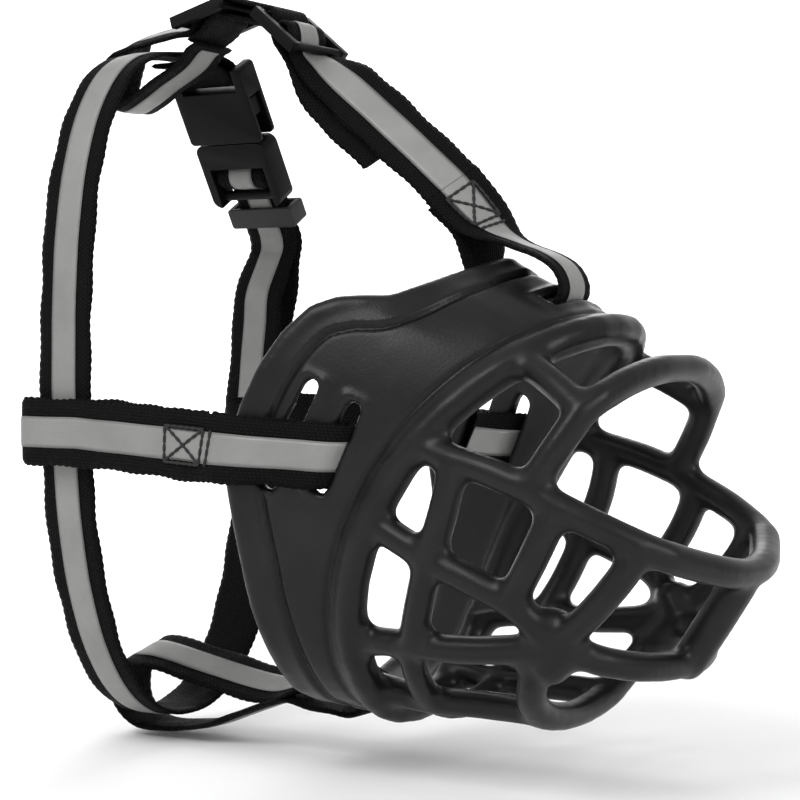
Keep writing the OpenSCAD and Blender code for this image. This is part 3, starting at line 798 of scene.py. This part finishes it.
def cheek_pieces(side_name, side):
    """side is -1 for the right cheek, 1 for the left."""
    p = resampled(smooth(CHEEK_PATH, 5), STATION)
    g = np.gradient(p, axis=0)
    centres, widths, normals = [], [], []
    for q, t in zip(p, g):
        t = t / np.linalg.norm(t)
        turn = PITCH * max(0.0, min(1.0, (q[0] + 62) / 40))
        centres.append((q[0], -side * q[1], cheek_height(q[0])))
        widths.append(np.array((math.sin(turn), 0, math.cos(turn))))
        normals.append(np.array((t[1], side * t[0], 0)))
    strap = Strap(centres, widths, normals)
    web(f"cheek_web_{side_name}", strap, f"cheek_strap_{side_name}")
    (x0, y0), (x1, y1) = CHEEK_TAPE
    tape_start = strap.place_of((x0, -side * y0, cheek_height(x0)), after=60)
    tape_end = strap.place_of((x1, -side * y1, cheek_height(x1)))
    tape(f"cheek_band_{side_name}", strap.part(tape_start - 8, tape_end), f"cheek_tape_{side_name}")
    x, y = CHEEK_STITCH
    s = strap.place_of((x, -side * y, cheek_height(x)), after=tape_start)
    runs = box_stitch(s, half_l=7, half_w=5, extra=2.6)
    stitch_piece(f"cheek_stitch_{side_name}", runs, strap, STITCH_LIFT, f"stitch_{side_name}")


# ---------- forehead, link, crown and chin straps ----------
FOREHEAD_LOOP = [(-38, 78), (-28, 74), (-18, 71.8), (-9, 71.8), (-1, 72.6), (5.5, 72), (10, 69), (11.2, 65),
                 (9.3, 60.4), (4, 57.8), (-4, 57.2), (-12.6, 57.2), (-18.5, 60.4), (-23, 66.2), (-28, 71.4),
                 (-37.5, 75.6)]
FRONT_POS, FRONT_TILT = (-53.5, 133.5), math.radians(40)
REAR_POS, REAR_TILT = (-82.0, 140.5), math.radians(-15)
SLIDER_BAR, BAR_STEP = 2.8, 7.6
# the weaves are u forward and v up from a slider's middle, and the loops x and z
FRONT_WEAVE = [(20, -3), (12, -2.7), (7.6, -2.7), (4.6, -1.2), (2.8, 1), (0, 2.6), (-2.4, 1.2), (-2.6, -1.6),
               (-0.6, -4), (3, -4.9), (8, -5.2), (20, -5.4)]
CROWN_WEAVE = [(-7.6, -5.2), (-3, -4), (0, -2.6), (2.2, -1.6), (2.8, 0), (2.2, 1.6), (0, 2.6), (-2.6, 1.2),
               (-5, -1.5), (-7.6, -2.7)]
CROWN_TURN = (-122, 123)           # where the crown strap goes round the back of the neck strap
CROWN_LOOP = [(-98, 136), (-107, 134.8), (-114, 133.6), (-119.5, 130), CROWN_TURN, (-121, 117),
              (-117, 114.8), (-110, 117.6), (-102, 122), (-96, 124.9), (-92, 127.4), (-88.4, 130.8),
              (-85.4, 132.2)]
CHIN_TURN = (-118, -62.5)          # where the chin strap goes round it
CHIN_TAPE_END = (-60, -65.6)
CHIN_BACK = [(-43.7, -59.1), (-56, -61.4), (-66, -61.8), (-85, -58), (-100, -54.4), (-108, -53.6),
             (-114.5, -56.4), CHIN_TURN, (-117.5, -70.4), (-112, -75.8), (-103, -77), (-86, -75), (-72, -70),
             CHIN_TAPE_END]
CHIN_FRONT = [(-21, -80.4), (-13, -78.2), (-6, -75.6), (0, -73.4), (3, -70), (2.4, -65.4), (-1, -63.4),
              (-6.6, -63.4), (-11.6, -66.8), (-14.4, -71.6)]
# the soft straps roll their faces to the near side along these lines: start, end, degrees, rise and fall
FOREHEAD_ROLL = ((22, 0, 68), (FRONT_POS[0], 0, FRONT_POS[1]), -46, 26, 24)
CROWN_ROLL = ((-88, 0, 137), (-121.5, 0, 131.5), -22, 12, 9)
CHIN_ROLL = ((-46, 0, -60), (-119, 0, -58), -24, 16, 12)
CROWN_LIFT = 1.6                   # the crown strap's upper strand also stands up by this
TAIL_L, TAIL_SKEW, TAIL_RAMP = 44, 5, 20      # the forehead strap's tail hangs out on the near side


def from_slider(pos, tilt, u, v):
    """From u forward and v up at a slider to x, z."""
    c, s = math.cos(tilt), math.sin(tilt)
    return (pos[0] + u * c + v * s, pos[1] + v * c - u * s)


def in_plane(point):
    """An x, z point in the middle plane."""
    return (point[0], 0, point[1])


def ramp(x, low, high):
    """0 below low, 1 above high, and smooth between."""
    f = max(0.0, min(1.0, (x - low) / (high - low)))
    return f * f * (3 - 2 * f)


def rolled(strap, start, end, angle, rise, fall, until=1e9, lift=0.0):
    """Rolls and lifts the stations along the line from start to end, up to arc length until.

    The roll grows to angle over the first rise millimetres and goes back to none over the last fall.
    """
    start, end = Vector(start), Vector(end)
    run = (end - start).normalized()
    total = (end - start).length
    centres, widths, normals = [], [], []
    for s, c, w, n in zip(strap.s, strap.c, strap.w, strap.n):
        t = (Vector(c) - start).dot(run)
        share = ramp(t, 0, rise) * ramp(total - t, 0, fall) * (s < until)
        turn = Matrix.Rotation(math.radians(angle) * share, 3, run)
        axis = start + run * t
        centres.append(axis + turn @ (Vector(c) - axis) + Vector((0, 0, lift * share)))
        widths.append(np.array(turn @ Vector(w)))
        normals.append(np.array(turn @ Vector(n)))
    return Strap(centres, widths, normals)


def forehead_pieces():
    """The sewn loop on the cuff, and the strap from it through the front slider and back."""
    loop = rolled(upright(smooth(tips(FOREHEAD_LOOP), 5)), *FOREHEAD_ROLL)
    web("forehead_loop_web", loop, "forehead_loop")
    tape_end = loop.place_of(tipped((11.2, 0, 65)))
    tape("forehead_loop_tape", loop.part(0, tape_end + 2), "loop_tape")
    runs = box_stitch(9.5, half_l=6.4, half_w=5, extra=2.4)
    stitch_piece("forehead_stitch", runs, loop, STITCH_LIFT, "stitch_forehead")
    path = [tip(-38, 78), tip(-52, 82), tip(-70, 86.6)]
    path += [from_slider(FRONT_POS, FRONT_TILT, u, v) for u, v in FRONT_WEAVE]
    path += [tip(-70, 84), tip(-60, 81.4)]
    strap = rolled(upright(smooth(path, 5), side=-1), *FOREHEAD_ROLL)
    tail_start = strap.s[-1] - TAIL_L
    for i, s in enumerate(strap.s):
        strap.c[i] -= strap.w[i] * TAIL_SKEW * ramp(s, tail_start, tail_start + TAIL_RAMP)
    near = from_slider(FRONT_POS, FRONT_TILT, 14, -3)
    follow = ("basket", "sliders", in_plane(tip(-42, 79)), in_plane(near))
    web("forehead_web", strap, "forehead_strap", follow=follow)
    over = strap.place_of(in_plane(from_slider(FRONT_POS, FRONT_TILT, -2.4, 1.2)))
    tape("forehead_band", strap.part(0, over), "forehead_tape", follow=follow)


def link_piece():
    """The short closed loop of webbing round both sliders' inner bars."""
    a = np.array(from_slider(REAR_POS, REAR_TILT, BAR_STEP, 0))
    b = np.array(from_slider(FRONT_POS, FRONT_TILT, -BAR_STEP, 0))
    r = SLIDER_BAR / 2 + GAP + WEB_T / 2
    turn = math.atan2(b[1] - a[1], b[0] - a[0])
    low = (a + b) / 2 + r * np.array((math.sin(turn), -math.cos(turn)))
    half_gap = (0.4, 0)        # between the loop's two ends, underneath
    arc = [low + half_gap]
    for centre, first in ((b, turn - math.pi / 2), (a, turn + math.pi / 2)):
        angles = [first + math.pi * k / 12 for k in range(13)]
        arc += [centre + r * np.array((math.cos(q), math.sin(q))) for q in angles]
    arc += [low - half_gap]
    strap = upright(arc, side=-1)
    web("link_web", strap, "link_strap", body="sliders")


def crown_pieces():
    """The strap from the rear slider round the neck strap and back."""
    path = [from_slider(REAR_POS, REAR_TILT, u, v) for u, v in CROWN_WEAVE] + CROWN_LOOP
    strap = upright(smooth(path, 5), side=-1)
    strap = rolled(strap, *CROWN_ROLL, until=strap.place_of(in_plane(CROWN_TURN)), lift=CROWN_LIFT)
    follow = ("basket", "sliders", (-112, 0, 134), (-92, 0, 138))
    web("crown_web", strap, "crown_strap", follow=follow)
    first = strap.place_of(in_plane(from_slider(REAR_POS, REAR_TILT, 2.8, 0)))
    tape("crown_band", strap.part(first, strap.s[-1] - 1.2), "crown_tape", follow=follow)


def chin_pieces():
    """The strap from the cuff's bottom slot round the neck strap and back, sewn at the slot."""
    strap = upright(smooth(CHIN_BACK + tips(CHIN_FRONT), 5), side=-1)
    strap = rolled(strap, *CHIN_ROLL, until=strap.place_of(in_plane(CHIN_TURN)))
    web("chin_web", strap, "chin_strap")
    tape("chin_band", strap.part(2, strap.place_of(in_plane(CHIN_TAPE_END))), "chin_tape")
    under = -WEB_T / 2 - 0.2       # the thread shows on the webbing's lower face
    stitch_piece("chin_stitch", box_stitch(6.8, half_l=5, half_w=4.2), strap, under, "stitch_chin")


# ---------- hardware ----------
def moulded(name, cad, bevel, material, body):
    """A CAD node's shape as a moulding: faces merged, edges rounded."""
    obj = joined_copy(name, (cad,))
    bm = bmesh.new()
    bm.from_mesh(obj.data)
    bmesh.ops.dissolve_limit(bm, angle_limit=math.radians(2), verts=bm.verts, edges=bm.edges)
    bm.to_mesh(obj.data)
    bm.free()
    m = obj.modifiers.new("edges", "BEVEL")
    m.width = bevel * MM
    m.segments = 3
    m.limit_method = "ANGLE"
    m.angle_limit = math.radians(40)
    apply_modifiers(obj)
    obj.data.materials.clear()
    obj.data.materials.append(material)
    obj.data.shade_smooth()
    obj.data.set_sharp_from_angle(angle=math.radians(35))
    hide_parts(cad)
    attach(obj, body)


def hardware():
    """Sliders, buckle and keeper."""
    moulded("slider_front_moulding", "slider_front", 0.45, PLASTIC, "sliders")
    moulded("slider_rear_moulding", "slider_rear", 0.45, PLASTIC, "sliders")
    moulded("buckle_socket_moulding", "buckle_socket", 0.5, PLASTIC, "basket")
    moulded("buckle_plug_moulding", "buckle_plug", 0.5, PLASTIC, "plug")
    moulded("prong_front_moulding", "prong_front", 0.4, PLASTIC, "prong_front")
    moulded("prong_rear_moulding", "prong_rear", 0.4, PLASTIC, "prong_rear")
    moulded("keeper_moulding", "keeper", 0.35, KEEPER, "keeper")


# ---------- studio ----------
def studio():
    """A pale paper sweep, and large soft lights."""
    floor_z = cad_box[0][2] - 0.0015
    near, depth, radius, rise, width = -2.0, 1.1, 0.5, 2.5, 3.0
    profile = [(near, floor_z)]
    profile += [(depth + radius * math.sin(a), floor_z + radius * (1 - math.cos(a)))
                for a in np.linspace(0, math.pi / 2, 24)]
    profile += [(depth + radius, floor_z + rise)]
    turn = Matrix.Rotation(math.radians(VIEW_TURN), 3, "Z")
    verts = [turn @ Vector((x, y, z)) for y, z in profile for x in (-width, width)]
    faces = [(2 * i, 2 * i + 1, 2 * i + 3, 2 * i + 2) for i in range(len(profile) - 1)]
    sweep = new_object("paper_sweep", verts, faces, paper_material())
    world = bpy.data.worlds.new("studio_world")
    world.use_nodes = True
    world.node_tree.nodes["Background"].inputs["Color"].default_value = (1, 1, 1, 1)
    world.node_tree.nodes["Background"].inputs["Strength"].default_value = 0.6
    bpy.context.scene.world = world
    area_light("key", (-0.25, -0.9, 0.95), 0.7, 9)
    area_light("side", (1.0, -0.35, 0.45), 0.5, 4)
    area_light("back", (-0.6, 0.9, 0.8), 0.8, 3)
    area_light("paper", (-0.35, 0.62, 0.85), 0.6, 12, target=(-0.75, 1.35, 0.15))


def area_light(name, place, size, power, target=(0, 0, 0.03)):
    """A square soft light that faces its target."""
    data = bpy.data.lights.new(name, "AREA")
    data.energy = power
    data.size = size
    obj = bpy.data.objects.new(name, data)
    bpy.context.collection.objects.link(obj)
    obj.location = place
    obj.rotation_euler = (Vector(target) - Vector(place)).to_track_quat("-Z", "Y").to_euler()


def camera():
    """The photograph's view."""
    data = bpy.data.cameras.new("camera")
    data.sensor_width = SENSOR
    data.lens = LENS
    data.clip_start = 0.01
    obj = bpy.data.objects.new("camera", data)
    bpy.context.collection.objects.link(obj)
    obj.location = CAMERA_PLACE
    obj.rotation_euler = (math.radians(VIEW_PITCH), 0, math.radians(VIEW_TURN))
    bpy.context.scene.camera = obj
    bpy.context.scene.view_settings.view_transform = "Standard"


camera()
studio()
basket_skin()
neck_pieces()
cheek_pieces("right", -1)
cheek_pieces("left", 1)
forehead_pieces()
link_piece()
crown_pieces()
chin_pieces()
hardware()
